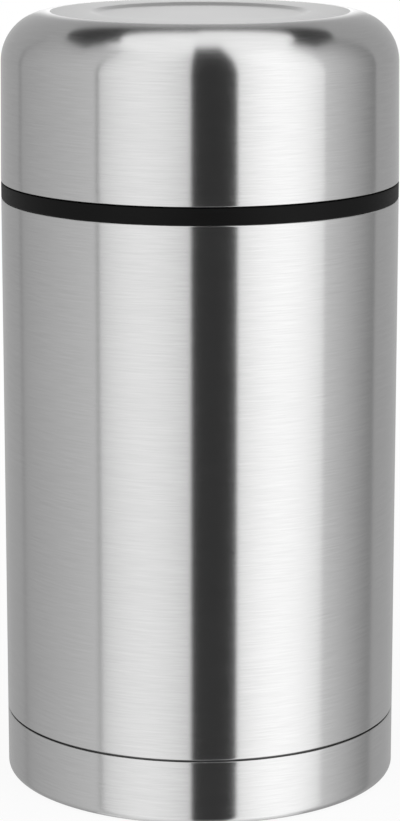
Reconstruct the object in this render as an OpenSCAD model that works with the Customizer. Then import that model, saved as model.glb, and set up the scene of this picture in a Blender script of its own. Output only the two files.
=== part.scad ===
// Insulated food jar: a double-walled steel jar with a black collar, a screw-in stopper that carries a
// press-to-vent valve, and a domed steel cup that screws over the stopper.
// The origin is the centre of the ring it stands on, +Z runs up the axis, and sizes are millimetres.

/* [Body] */
// Outside diameter of the steel body
body_d = 104; // [96:1:130]
// Height of the body's shoulder, on which the collar sits
body_h = 155.4; // [110:0.2:220]
// Wall of the outer shell
shell_t = 0.6; // [0.4:0.1:0.9]
// Radius of the bend from the wall to the shoulder
shoulder_bend = 0.6; // [0.3:0.1:2]
// Width of the shoulder ledge, from the outside of the body to the neck
shoulder_w = 5.6; // [5.2:0.1:7]
// Height of the rolled lip above the shoulder
neck_h = 18.6; // [16:0.2:24]

/* [Vessel] */
// Wall of the inner vessel
vessel_t = 0.5; // [0.4:0.1:0.8]
// Width of the vacuum gap between the two walls
vacuum_gap = 3.8; // [2.6:0.1:4.6]
// Height of the vessel's inside floor above the surface that the jar stands on
floor_lift = 11; // [10.5:0.5:18]
// Inside radius of the vessel's floor corner
floor_bend = 12; // [6:0.5:20]
// Straight wall that the floor pressing keeps above its corner
floor_rim = 1.5; // [0.5:0.1:6]
// Height over which the vessel narrows to its throat
vessel_taper = 4.5; // [3:0.1:8]
// Depth below the plug at which the vessel starts to narrow
vessel_drop = 6; // [4:0.2:10]
// Step from the threaded mouth in to the throat that the stopper seals against
throat_step = 1.2; // [0.8:0.1:1.6]
// Radius of the rolled lip's section
lip_r = 1.3; // [1.1:0.05:1.4]
// Thickness of the heat-reflecting foil round the vessel
foil_t = 0.1; // [0.05:0.05:0.2]
// Distance that the foil stops short of each end of the vessel's straight wall
foil_margin = 4; // [2:0.5:12]

/* [Base] */
// Height of the base cap's wall
base_h = 17.1; // [14:0.1:30]
// Wall of the base cap
base_t = 0.6; // [0.4:0.1:0.8]
// Radius of the base cap's bottom edge
base_bend = 2; // [1.5:0.1:4]
// Open joint between the base cap and the shell
seam_gap = 0.5; // [0.2:0.05:0.8]
// Width of the flat ring that the jar stands on
foot_w = 6; // [4:0.5:10]
// Height of the hollow inside the standing ring
foot_hollow = 2; // [1:0.1:2.6]
// Height of the shell's lower edge above the surface that the jar stands on
shell_foot = 4.2; // [4:0.1:5]
// Sheet of the vacuum base that closes the outer wall
vacuum_base_t = 0.5; // [0.4:0.1:0.7]
// Height of the vacuum base's flange
vacuum_flange = 2.9; // [2.4:0.1:3.2]
// Outside radius of the raised well that holds the sealing bead
well_r = 4.5; // [3.5:0.1:6]
// Rise of that well
well_h = 1.3; // [1:0.1:1.5]
// Diameter of the evacuation hole
port_d = 2.4; // [1.6:0.1:3.2]
// Depth of the sealing bead
bead_h = 1.1; // [0.8:0.1:1.4]
// Outside radius of the getter's holder
getter_r = 6; // [4:0.1:8]
// Height of the getter's holder
getter_h = 1.9; // [1.2:0.1:2]
// Sheet of the getter's holder
getter_t = 0.4; // [0.3:0.1:0.5]
// Distance of the getter from the axis
getter_offset = 22; // [16:0.5:32]

/* [Collar] */
// Height of the black band that shows between the body and the cup
band_h = 4.2; // [3:0.1:8]
// Radius of the band's two outer edges
band_edge = 0.3; // [0.1:0.05:0.8]

/* [Stopper] */
// Depth of the plug below the lip
plug_h = 23.6; // [20:0.2:25]
// Wall of the stopper's mouldings
stopper_t = 1.8; // [1.2:0.1:2.2]
// Thickness of the flange over the lip
flange_t = 3; // [2.4:0.1:3.6]
// Radius of the grip
grip_r = 30; // [26:0.5:34]
// Height of the grip above the flange
grip_h = 12.7; // [10:0.1:15]
// Radius of the grip's top edge
grip_edge = 1.5; // [0.5:0.1:1.8]
// Number of finger flutes round the grip
flute_count = 24; // [12:4:32]
// Depth of a flute
flute_depth = 1.1; // [0.6:0.1:1.4]
// Radius of a flute's cutter
flute_r = 2.4; // [1.6:0.1:2.6]
// Radius of the dish in the top of the grip
dish_r = 20; // [18:0.5:21]
// Depth of that dish
dish_h = 3; // [2:0.1:4]
// Height of the groove that holds the gasket
groove_h = 5; // [4:0.1:6]
// Thickness of the floor below the gasket
plug_floor_t = 2.6; // [2:0.1:3]
// Height of one of the gasket's lips
gasket_lip_h = 1.1; // [0.8:0.1:1.4]

/* [Vent] */
// Diameter of the vent button
button_d = 22; // [19:0.5:26]
// Height of the hub's floor above the flange's underside
hub_lift = 1.5; // [1:0.1:2.5]
// Height of the hub's rim above the dish
hub_rim = 1.5; // [0.5:0.1:2]
// Thickness of the button's top
button_t = 2; // [1.6:0.1:2.4]
// Height of the button's side
button_side = 6.5; // [5:0.1:8]
// Wall of the button's side and of the boss that takes the stem
button_wall = 1.4; // [1:0.1:1.8]
// Depth of that boss below the button's top
boss_h = 3; // [2:0.1:3.6]
// Travel of the button
vent_travel = 2; // [1:0.1:3]
// Height of the pressed button above its hub
button_rest = 0.3; // [0.2:0.1:1]
// Diameter of the vent's stem
stem_d = 4; // [3:0.1:4.6]
// Depth of the stem's groove, which holds the soft disc
stem_groove = 0.6; // [0.4:0.05:0.8]
// Width of the stem's foot round the stem
stem_foot_w = 2; // [1.4:0.1:2.6]
// Thickness of the stem's foot
stem_foot_t = 1; // [0.8:0.1:1.4]
// Width of the steam's way round the stem
steam_room = 1.4; // [1:0.1:1.6]
// Radius of the soft disc that closes the vent
vent_seal_r = 6; // [5:0.1:8]
// Thickness of that disc
vent_seal_t = 1.6; // [1.2:0.1:2.4]
// Wire of the return spring
spring_wire = 0.8; // [0.6:0.05:0.8]
// Number of turns in the return spring
spring_turns = 5; // [4:1:5]
// Room between the spring and the boss
spring_room = 0.5; // [0.3:0.05:0.8]

/* [Cup] */
// Height of the cup
cup_h = 43.7; // [40:0.1:60]
// Wall of the cup's steel shell
cup_t = 0.6; // [0.4:0.1:0.9]
// Radius of the cup's domed corner
cup_bend = 12.8; // [8:0.2:18]
// Amount by which the cup's wall draws in towards its corner
cup_draft = 0.5; // [0:0.05:1]
// Radius of the shallow recess in the cup's top
recess_r = 28.4; // [18:0.2:32]
// Depth of that recess
recess_h = 0.7; // [0.3:0.05:1.2]
// Width of the slope round the recess
recess_slope = 2.4; // [1.2:0.1:4]
// Wall of the cup's plastic liner
cup_liner_t = 1.4; // [1:0.1:1.6]

/* [Fits] */
// Gap between pressings that nest in each other
nest_gap = 0.1; // [0.05:0.01:0.15]
// Gap at a seat, where one piece rests on another
seat_gap = 0.3; // [0.2:0.05:0.4]
// Gap round the button and between the mouldings that slide into each other
slide_gap = 0.2; // [0.15:0.01:0.25]
// Gap between the plug and the throat
plug_gap = 0.5; // [0.4:0.05:0.8]
// Room between two walls for the screw thread that joins them
thread_room = 1.2; // [1:0.05:1.4]

/* [Hidden] */
$fn = 96;
over = 1;                  // how far a cutter runs past what it cuts

// Radii, from the outside in
body_r = body_d / 2;
shell_in = body_r - shell_t;
neck_r = body_r - shoulder_w;
mouth_out = neck_r - shell_t - nest_gap;
mouth_r = mouth_out - vessel_t;
throat_r = mouth_r - throat_step;
lip_out = mouth_r + 2 * lip_r;
vessel_out = shell_in - vacuum_gap;
vessel_r = vessel_out - vessel_t;
foil_in = vessel_out + seat_gap;

// Heights of the body
seam_z = base_h + seam_gap;
lip_z = body_h + neck_h;
neck_top = lip_z - 2 * lip_r;
weld_z = floor_lift + floor_bend + floor_rim;

// Base: the shell steps in below the seam, so that the cap round it lies flush
step_r = body_r - base_t - nest_gap;
step_in = step_r - shell_t;
disc_r = step_in - nest_gap;
disc_z = shell_foot + vacuum_flange;
well_z = disc_z - vacuum_base_t + well_h;
bead_r = well_r - vacuum_base_t - nest_gap;
foot_out = body_r - base_bend;
hollow_r = foot_out - foot_w;

// Collar, with room for the thread between it and the liner
band_z = body_h + band_h;
collar_in = neck_r + seat_gap;
collar_out = body_r - cup_t - nest_gap - cup_liner_t - thread_room;
collar_top = neck_top - seat_gap;
collar_edge = 0.5;

// Stopper, with room for the thread between its skirt and the mouth
flange_z = lip_z + seat_gap;
flange_top = flange_z + flange_t;
flange_r = lip_out + seat_gap;
flange_edge = 0.8;
grip_top = flange_top + grip_h;
grip_in = grip_r - flute_depth - stopper_t;
flute_ledge = 1.2;
dish_z = grip_top - dish_h;
plug_z = lip_z - plug_h;
plug_r = throat_r - plug_gap;
plug_edge = 1;
groove_z = plug_z + plug_floor_t;
skirt_z = groove_z + groove_h;
skirt_r = mouth_r - thread_room;
skirt_in = skirt_r - stopper_t;
tub_r = skirt_in - slide_gap;
tub_in = tub_r - stopper_t;
tub_top = flange_z - seat_gap;
foam_room = 1;
gasket_in = tub_r + nest_gap;
gasket_out = plug_r - nest_gap;
gasket_reach = throat_r - seat_gap;
gasket_lower = 0.22;       // where the gasket's lips stand, as shares of the groove's height
gasket_upper = 0.58;

// The vessel narrows below the plug, and its throat ends just below the skirt
vessel_neck_z = plug_z - vessel_drop + vessel_taper;
throat_z = skirt_z - seat_gap - throat_step;

// Vent
button_r = button_d / 2;
button_edge = 1;
hub_in = button_r + slide_gap;
hub_out = hub_in + stopper_t;
hub_z = flange_z + hub_lift;
hub_seat = hub_z + stopper_t;
hub_top = dish_z + hub_rim;
button_top = hub_top + vent_travel + button_rest;
button_under = button_top - button_t;
stem_r = stem_d / 2;
stem_neck = stem_r - stem_groove;
stem_foot_r = stem_r + stem_foot_w;
stem_hole = stem_r + steam_room / 2;
boss_r = stem_r + button_wall;
boss_z = button_under - boss_h;
port_r = stem_r + steam_room;
chimney_in = port_r + steam_room;
chimney_out = chimney_in + stopper_t;
seal_top = plug_z - nest_gap;
seal_z = seal_top - vent_seal_t;
spring_r = boss_r + spring_wire / 2 + spring_room;
spring_z = hub_seat + spring_wire / 2;
spring_rise = button_under - hub_seat - spring_wire;
spring_flat = 0.5;         // turns that lie flat at each end

// Cup
rim_z = band_z + seat_gap;
cup_top = rim_z + cup_h;
crown_r = body_r - cup_draft;
liner_r = body_r - cup_t - nest_gap;
liner_crown = crown_r - cup_t - nest_gap;
liner_top = cup_top - cup_t - recess_h - seat_gap;
liner_bend = cup_bend - cup_t - recess_h;

// ---- Profiles: X is the radius and Y the height, ready to be turned round the axis ----

// Rectangle between two radii and two heights
module bar(r0, r1, z0, z1) {
    translate([r0, z0]) square([r1 - r0, z1 - z0]);
}

// What comes off an outer corner at (r, z) to round it; up is 1 for a top corner and -1 for a bottom one
module corner_waste(r, z, bend, up) {
    difference() {
        translate([r - bend, up > 0 ? z - bend : z - over]) square([bend + over, bend + over]);
        translate([r - bend, z - up * bend]) circle(bend);
    }
}

// Rectangle whose outer corners are rounded
module round_bar(r0, r1, z0, z1, top = 0, bottom = 0) {
    difference() {
        bar(r0, r1, z0, z1);
        if (top > 0) corner_waste(r1, z1, top, 1);
        if (bottom > 0) corner_waste(r1, z0, bottom, -1);
    }
}

// Filled outline of a domed cup: a wall that draws in from r_rim to r_crown, then a round corner
module dome(r_rim, r_crown, z0, z1, bend) {
    polygon([[0, z0], [r_rim, z0], [r_crown, z1 - bend], [0, z1 - bend]]);
    bar(0, r_crown - bend, z1 - bend, z1);
    translate([r_crown - bend, z1 - bend]) intersection() {
        circle(bend);
        square(bend);
    }
}

// What the recess takes out of the cup's top; sheet is 0 outside and the sheet's thickness inside
module recess(sheet) {
    z = cup_top - sheet;
    r = recess_r + sheet;
    polygon([[0, cup_top + over], [r, cup_top + over], [r, z], [r - recess_slope, z - recess_h],
             [0, z - recess_h]]);
}

// What the hollow under the base takes away; sheet is 0 outside and the sheet's thickness inside
module base_hollow(sheet) {
    r = hollow_r + sheet;
    polygon([[0, -over], [r, -over], [r, sheet], [r - foot_hollow, sheet + foot_hollow],
             [0, sheet + foot_hollow]]);
}

// ---- Body ----

// The outer wall: stepped in at the foot, bent in at the shoulder and drawn up into the neck
module outer_shell() {
    color("silver") rotate_extrude() difference() {
        union() {
            round_bar(0, body_r, seam_z, body_h, shoulder_bend);
            bar(0, step_r, shell_foot, seam_z);
            bar(0, neck_r, body_h, neck_top);
        }
        round_bar(0, shell_in, seam_z + shell_t, body_h - shell_t, shoulder_bend - shell_t);
        bar(0, step_in, shell_foot - over, seam_z + shell_t);
        bar(0, neck_r - shell_t, body_h - shell_t - over, neck_top + over);
    }
}

// Filled outline of the vessel's tube without its lip; out is 0 inside and the sheet's thickness outside
module vessel_outline(out) {
    polygon([[0, weld_z], [vessel_r + out, weld_z], [vessel_r + out, vessel_neck_z - vessel_taper],
             [throat_r + out, vessel_neck_z], [throat_r + out, throat_z],
             [mouth_r + out, throat_z + throat_step], [mouth_r + out, neck_top + lip_r],
             [0, neck_top + lip_r]]);
}

// The vessel's drawn tube: wall, throat, threaded mouth and the lip rolled over the top of the neck
module vessel_wall() {
    color("gainsboro") rotate_extrude() {
        difference() {
            vessel_outline(vessel_t);
            vessel_outline(0);
        }
        translate([mouth_r + lip_r, neck_top + lip_r]) circle(lip_r);
    }
}

// The vessel's pressed floor, butt-welded to the wall
module vessel_floor() {
    color("gainsboro") rotate_extrude() difference() {
        round_bar(0, vessel_out, floor_lift - vessel_t, weld_z, 0, floor_bend + vessel_t);
        round_bar(0, vessel_r, floor_lift, weld_z + over, 0, floor_bend);
    }
}

// The thin sleeve in the vacuum that throws radiant heat back
module radiation_foil() {
    color("whitesmoke") rotate_extrude()
        bar(foil_in, foil_in + foil_t, weld_z + foil_margin, vessel_neck_z - vessel_taper - foil_margin);
}

// The disc that closes the vacuum: its flange is welded into the shell's foot, and its well is raised
module vacuum_base() {
    color("darkgray") rotate_extrude() difference() {
        union() {
            bar(0, disc_r, shell_foot, disc_z);
            bar(0, well_r, disc_z, well_z + vacuum_base_t);
        }
        bar(0, disc_r - vacuum_base_t, shell_foot - over, disc_z - vacuum_base_t);
        bar(0, well_r - vacuum_base_t, disc_z - vacuum_base_t - over, well_z);
        bar(0, port_d / 2, well_z - over, well_z + vacuum_base_t + over);
    }
}

// The glass bead that plugs the evacuation hole from below
module seal_bead() {
    color("dimgray") rotate_extrude() {
        round_bar(0, bead_r, well_z - bead_h, well_z, 0, bead_h / 2);
        bar(0, port_d / 2 - nest_gap, well_z - bead_h / 2, well_z + vacuum_base_t);
    }
}

// The open tray, spot-welded on the vacuum base, that holds the getter
module getter_holder() {
    color("lightgray") translate([getter_offset, 0, disc_z]) rotate_extrude() difference() {
        bar(0, getter_r, 0, getter_h);
        bar(0, getter_r - getter_t, getter_t, getter_h + over);
    }
}

// The pressed pellet that takes up stray gas and keeps the vacuum
module getter_pellet() {
    color("slategray") translate([getter_offset, 0, disc_z + getter_t]) rotate_extrude()
        round_bar(0, getter_r - getter_t - slide_gap, 0, getter_h - getter_t - slide_gap, slide_gap);
}

// The steel cap over the foot: a flush wall, a round edge, the standing ring and the hollow inside it
module base_cap() {
    color("silver") rotate_extrude() difference() {
        round_bar(0, body_r, 0, base_h, 0, base_bend);
        base_hollow(0);
        difference() {
            round_bar(0, body_r - base_t, base_t, base_h + over, 0, base_bend - base_t);
            base_hollow(base_t);
        }
    }
}

// The black collar: the band that shows, and the wall inside the cup that carries the cup's thread
module collar() {
    color("#1d1d1e") rotate_extrude() {
        round_bar(collar_in, body_r, body_h, band_z, band_edge, band_edge);
        round_bar(collar_in, collar_out, band_z - over, collar_top, collar_edge);
    }
}

// ---- Stopper ----

// Cutter for one finger flute, at the given turn round the grip
module flute(turn) {
    rotate([0, 0, turn])
        translate([grip_r + flute_r - flute_depth, 0, flange_top + flute_ledge])
            cylinder(r = flute_r, h = grip_h + over);
}

// The upper moulding: threaded skirt, flange, fluted grip, dish and the hub that guides the button
module stopper_top() {
    color("#232325") difference() {
        rotate_extrude() {
            bar(skirt_in, skirt_r, skirt_z, flange_z + over);
            round_bar(grip_in, flange_r, flange_z, flange_top, flange_edge, flange_edge / 2);
            difference() {
                round_bar(hub_in, grip_r, flange_z, grip_top, grip_edge);
                bar(0, grip_in, flange_z - over, dish_z - stopper_t);
                bar(0, dish_r, dish_z, grip_top + over);
                bar(dish_r + stopper_t, grip_in, flange_z, grip_top - stopper_t);
            }
            bar(hub_in, hub_out, hub_z, hub_top);
            bar(stem_hole, hub_out, hub_z, hub_seat);
        }
        for (i = [0 : flute_count - 1]) flute(i * 360 / flute_count);
    }
}

// The lower moulding: a tub that slides up into the skirt, with the vent's chimney in its middle
module stopper_base() {
    color("#2a2a2c") rotate_extrude() {
        round_bar(port_r, plug_r, plug_z, groove_z, 0, plug_edge);
        bar(tub_in, tub_r, groove_z - over, tub_top);
        bar(chimney_in, chimney_out, groove_z - over, hub_z - seat_gap);
    }
}

// The foam puck that insulates the stopper
module stopper_foam() {
    color("ivory") rotate_extrude()
        bar(chimney_out + seat_gap, tub_in - seat_gap, groove_z + nest_gap, tub_top - foam_room);
}

// One upward lip of the gasket, at height z
module gasket_lip(z) {
    root = gasket_out - nest_gap;
    polygon([[root, z - gasket_lip_h / 2], [gasket_reach, z + gasket_lip_h / 4],
             [gasket_reach, z + gasket_lip_h / 2], [root, z + gasket_lip_h / 2]]);
}

// The silicone ring between the two mouldings, with two lips that wipe the throat
module stopper_gasket() {
    color("#8f9194") rotate_extrude() {
        bar(gasket_in, gasket_out, groove_z + nest_gap, skirt_z - nest_gap);
        for (share = [gasket_lower, gasket_upper]) gasket_lip(groove_z + share * groove_h);
    }
}

// ---- Vent ----

// The button: a shallow cap with a hollowed top and a boss that takes the stem
module vent_button() {
    color("#3a3a3d") rotate_extrude() difference() {
        round_bar(0, button_r, button_top - button_side, button_top, button_edge);
        polygon([[0, button_top + over], [0, button_top - button_t / 4],
                 [button_r - 2 * button_edge, button_top], [button_r - 2 * button_edge, button_top + over]]);
        bar(boss_r, button_r - button_wall, button_top - button_side - over, button_under);
        bar(0, boss_r + over, button_top - button_side - over, boss_z);
        bar(0, stem_r + nest_gap / 2, boss_z - over, button_under + nest_gap);
    }
}

// The stem: pressed up into the button, with a neck for the soft disc and a foot that holds the disc on
module vent_stem() {
    color("#4a4a4d") rotate_extrude() {
        foot_top = seal_z - nest_gap;
        bar(0, stem_r, plug_z, button_under);
        bar(0, stem_neck, foot_top, plug_z);
        round_bar(0, stem_foot_r, foot_top - stem_foot_t, foot_top, stem_foot_t / 4, stem_foot_t / 4);
    }
}

// The silicone disc that the spring pulls up against the underside of the stopper
module vent_seal() {
    color("#a9abad") rotate_extrude()
        round_bar(stem_neck + nest_gap, vent_seal_r, seal_z, seal_top, 0, vent_seal_t / 3);
}

// Centre of the spring's wire after so many turns: half a turn lies flat at each end, the rest climbs evenly
function spring_point(turns) =
    let (climb = min(1, max(0, (turns - spring_flat) / (spring_turns - 2 * spring_flat))))
    [spring_r * cos(360 * turns), spring_r * sin(360 * turns), spring_z + spring_rise * climb];

// Ring of points round the wire there
function spring_ring(turns, sides) =
    [for (s = [0 : sides - 1])
        let (out = spring_wire / 2 * cos(360 * s / sides), up = spring_wire / 2 * sin(360 * s / sides))
        spring_point(turns) + [out * cos(360 * turns), out * sin(360 * turns), up]];

// The return spring: one wire wound in even turns
module vent_spring() {
    sides = 6;
    per_turn = 18;
    steps = spring_turns * per_turn;
    points = [for (i = [0 : steps]) each spring_ring(i / per_turn, sides)];
    skin = [for (i = [0 : steps - 1], s = [0 : sides - 1])
               let (a = i * sides + s, b = i * sides + (s + 1) % sides)
               each [[a, a + sides, b], [b, a + sides, b + sides]]];
    ends = [for (s = [1 : sides - 2])
               each [[0, s, s + 1], [steps * sides, steps * sides + s + 1, steps * sides + s]]];
    gaps = [for (i = [0 : steps - per_turn], j = [i + per_turn / 2 : steps])
               norm(spring_point(j / per_turn) - spring_point(i / per_turn)) - spring_wire];
    echo(vent_spring_least_gap = min(gaps));
    color("gainsboro") polyhedron(points = points, faces = concat(skin, ends));
}

// ---- Cup ----

// The cup's steel shell, pressed from one sheet
module cup_shell() {
    color("silver") rotate_extrude() difference() {
        dome(body_r, crown_r, rim_z, cup_top, cup_bend);
        recess(0);
        difference() {
            dome(body_r - cup_t, crown_r - cup_t, rim_z, cup_top - cup_t, cup_bend - cup_t);
            recess(cup_t);
        }
        bar(0, body_r - cup_t, rim_z - over, rim_z);
    }
}

// The cup's plastic liner, whose bore screws over the collar
module cup_liner() {
    color("#2b2b2d") rotate_extrude() difference() {
        dome(liner_r, liner_crown, rim_z, liner_top, liner_bend);
        dome(liner_r - cup_liner_t, liner_crown - cup_liner_t, rim_z, liner_top - cup_liner_t,
             liner_bend - cup_liner_t);
    }
}

outer_shell();
vessel_wall();
vessel_floor();
radiation_foil();
vacuum_base();
seal_bead();
getter_holder();
getter_pellet();
base_cap();
collar();
stopper_top();
stopper_base();
stopper_foam();
stopper_gasket();
vent_button();
vent_stem();
vent_seal();
vent_spring();
cup_shell();
cup_liner();
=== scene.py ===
"""Insulated food jar: its finished surfaces, materials and studio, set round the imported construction.

Lengths are metres. The jar stands on Z = 0 with its axis on Z, and -Y faces the camera.
"""

import math

import bpy
import numpy as np
from mathutils import Matrix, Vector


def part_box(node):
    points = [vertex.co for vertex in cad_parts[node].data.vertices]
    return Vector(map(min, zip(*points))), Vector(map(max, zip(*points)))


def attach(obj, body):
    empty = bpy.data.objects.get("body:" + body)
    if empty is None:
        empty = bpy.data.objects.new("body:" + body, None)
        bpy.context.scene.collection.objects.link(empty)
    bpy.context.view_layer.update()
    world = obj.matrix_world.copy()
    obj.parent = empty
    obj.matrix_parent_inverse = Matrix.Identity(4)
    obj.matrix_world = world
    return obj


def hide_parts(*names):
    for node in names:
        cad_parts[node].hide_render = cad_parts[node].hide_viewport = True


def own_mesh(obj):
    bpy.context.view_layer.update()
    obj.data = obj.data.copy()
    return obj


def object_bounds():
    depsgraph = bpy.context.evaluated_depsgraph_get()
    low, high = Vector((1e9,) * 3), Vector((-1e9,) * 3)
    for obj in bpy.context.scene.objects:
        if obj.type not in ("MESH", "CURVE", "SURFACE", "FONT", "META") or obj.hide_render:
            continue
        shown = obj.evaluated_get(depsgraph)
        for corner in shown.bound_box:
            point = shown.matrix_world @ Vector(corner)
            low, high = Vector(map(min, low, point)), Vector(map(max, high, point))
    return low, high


bl_info = {
    "name": "Insulated Food Jar",
    "version": (1, 0, 0),
    "blender": (4, 5, 0),
    "location": "3D View > Sidebar > Food Jar",
    "description": "Builds a brushed steel food jar with its collar, stopper, vent and cup, and a studio",
    "category": "Add Mesh",
}

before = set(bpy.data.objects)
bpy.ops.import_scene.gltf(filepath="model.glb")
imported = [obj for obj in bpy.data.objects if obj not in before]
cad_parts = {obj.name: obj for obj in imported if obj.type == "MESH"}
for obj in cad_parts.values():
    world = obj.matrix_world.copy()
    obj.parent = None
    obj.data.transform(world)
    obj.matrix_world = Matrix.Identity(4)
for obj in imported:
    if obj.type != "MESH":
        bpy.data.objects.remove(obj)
CAD_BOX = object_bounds()

MM = 0.001
COLUMNS = 360                  # steps round the axis of a plain turned piece
FLUTED_COLUMNS = 336           # the same for the fluted grip: 14 steps a flute
SLIM_COLUMNS = 96              # the same for the stem
CUT_EDGE = 0.1 * MM            # radius at an edge of sheet that is cut, and at a gasket's edges
FOLD = 0.2 * MM                # radius at a fold of sheet, and at a hidden edge of a moulding
MOULDED_EDGE = 0.3 * MM        # radius at a plain edge of a moulding
THREAD_STEP = 0.3 * MM         # step along an outline that carries a thread
FLUTE_STEP = 0.8 * MM          # step along the fluted side of the grip
GASKET_LIPS = (0.22, 0.58)     # where the gasket's lips stand, as shares of its groove's height
NOISE_SPAN = (0.3, 0.7)        # nearly all of a noise texture's values lie between these
POLISH_SHARE = 0.4             # weight of the polish's slow unevenness beside the scratches in the tone
TONE_SPAN = (0.5, 0.9)         # nearly all of their sum lies between these
TONE_SPREAD = 0.05             # share by which that moves the steel's colour either way
PATH_MAP = "along_and_round"   # UV map: U is the length along the outline in metres, V the share of the turn


# ---- Sizes and colours that a user would change ----

def linear(colour):
    """A hex sRGB colour such as "#C8C8C8" as linear red, green, blue and 1."""
    share = np.array([int(colour[i:i + 2], 16) for i in (1, 3, 5)]) / 255
    value = np.where(share <= 0.04045, share / 12.92, ((share + 0.055) / 1.055) ** 2.4)
    return (*value.tolist(), 1.0)


def length(name, description, default):
    """A size in metres."""
    return bpy.props.FloatProperty(name=name, description=description, default=default, min=0, precision=5,
                                   subtype="DISTANCE", unit="LENGTH")


def colour(name, description, default):
    """A colour, given as hex sRGB."""
    return bpy.props.FloatVectorProperty(name=name, description=description, default=linear(default), size=4,
                                         subtype="COLOR", min=0, max=1)


class FoodJarSizes(bpy.types.PropertyGroup):
    """Sizes that the frame's boxes don't give."""
    sheet: length("Steel sheet", "Wall of the body, the base cap and the cup", 0.6 * MM)
    inner_sheet: length("Vessel sheet", "Wall of the inner vessel", 0.5 * MM)
    formed_edge: length("Formed edge", "Radius at the pressed edges of the outer steel", 0.25 * MM)
    nest_gap: length("Nesting gap", "Gap between pieces that nest in each other", 0.1 * MM)
    slide_gap: length("Sliding gap", "Gap round the button and between the stopper's mouldings", 0.2 * MM)
    seat_gap: length("Seat gap", "Gap where one piece rests on another", 0.3 * MM)
    base_bend: length("Base bend", "Radius of the base cap's bottom edge", 2 * MM)
    seam: length("Seam", "Open joint between the base cap and the body", 0.5 * MM)
    foot_width: length("Foot width", "Width of the flat ring that the jar stands on", 6 * MM)
    foot_hollow: length("Foot hollow", "Height of the hollow inside that ring", 2 * MM)
    shoulder_width: length("Shoulder width", "Width of the ledge that the collar sits on", 5.6 * MM)
    shoulder_bend: length("Shoulder bend", "Radius of the bend from the wall to the shoulder", 0.6 * MM)
    lip_radius: length("Lip radius", "Radius of the rolled lip's section", 1.3 * MM)
    throat_step: length("Throat step", "Step from the threaded mouth in to the throat", 1.2 * MM)
    vessel_drop: length("Vessel drop", "Depth below the plug at which the vessel starts to narrow", 6 * MM)
    vessel_taper: length("Vessel taper", "Height over which the vessel narrows", 4.5 * MM)
    floor_bend: length("Floor bend", "Inside radius of the vessel's floor corner", 12 * MM)
    thread_room: length("Thread room", "Room between two walls for the thread that joins them", 1.2 * MM)
    thread_pitch: length("Thread pitch", "Rise of the screw threads in one turn", 4 * MM)
    thread_height: length("Thread height", "Height of a screw thread's ridge", 0.8 * MM)
    thread_width: length("Thread width", "Width of that ridge at its foot", 2 * MM)
    cup_bend: length("Cup bend", "Radius of the cup's domed corner", 12.8 * MM)
    cup_draft: length("Cup draft", "Amount by which the cup's wall draws in towards its corner", 0.5 * MM)
    recess_radius: length("Recess radius", "Radius of the shallow recess in the cup's top", 28.4 * MM)
    recess_depth: length("Recess depth", "Depth of that recess", 0.7 * MM)
    recess_slope: length("Recess slope", "Width of the slope round that recess", 2.4 * MM)
    recess_fold: length("Recess fold", "Radius of the folds above and below that slope", 2.6 * MM)
    liner_wall: length("Liner wall", "Wall of the cup's plastic liner", 1.4 * MM)
    moulded_wall: length("Moulded wall", "Wall of the stopper's mouldings", 1.8 * MM)
    flange: length("Flange", "Thickness of the stopper's flange over the lip", 3 * MM)
    flange_edge: length("Flange edge", "Radius of the flange's upper edge", 0.8 * MM)
    grip_radius: length("Grip radius", "Radius of the stopper's grip", 30 * MM)
    grip_edge: length("Grip edge", "Radius of the grip's top edge", 1.5 * MM)
    flute_count: bpy.props.IntProperty(name="Flutes", description="Number of finger flutes round the grip",
                                       default=24, min=8, max=48)
    flute_depth: length("Flute depth", "Depth of a finger flute", 1.1 * MM)
    flute_radius: length("Flute radius", "Radius of a finger flute", 2.4 * MM)
    flute_ledge: length("Flute ledge", "Height above the flange at which the flutes start", 1.2 * MM)
    dish_radius: length("Dish radius", "Radius of the dish in the top of the grip", 20 * MM)
    dish_depth: length("Dish depth", "Depth of that dish", 3 * MM)
    dish_edge: length("Dish edge", "Radius at the dish's rim and floor", 0.8 * MM)
    hub_lift: length("Hub lift", "Height of the hub's floor above the flange's underside", 1.5 * MM)
    hub_rim: length("Hub rim", "Height of the hub's rim above the dish", 1.5 * MM)
    plug_edge: length("Plug edge", "Radius of the plug's bottom edge", 1 * MM)
    plug_floor: length("Plug floor", "Thickness of the floor below the gasket", 2.6 * MM)
    plug_gap: length("Plug gap", "Gap between the plug and the throat", 0.5 * MM)
    gasket_lip: length("Gasket lip", "Thickness of one of the gasket's two lips", 1.1 * MM)
    button_top: length("Button top", "Thickness of the vent button's top", 2 * MM)
    button_edge: length("Button edge", "Radius of the button's top edge", 1 * MM)
    button_wall: length("Button wall", "Wall of the button's side and of its boss", 1.4 * MM)
    boss_depth: length("Boss depth", "Depth of that boss below the button's top", 3 * MM)
    stem_radius: length("Stem radius", "Radius of the vent's stem", 2 * MM)
    stem_groove: length("Stem groove", "Depth of the groove that holds the soft disc", 0.6 * MM)
    steam_room: length("Steam room", "Width of the steam's way round the stem", 1.4 * MM)
    vent_travel: length("Vent travel", "Travel of the button", 2 * MM)
    wire: length("Spring wire", "Thickness of the return spring's wire", 0.8 * MM)
    spring_turns: bpy.props.IntProperty(name="Spring turns", description="Turns in the return spring",
                                        default=5, min=3, max=12)


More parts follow.
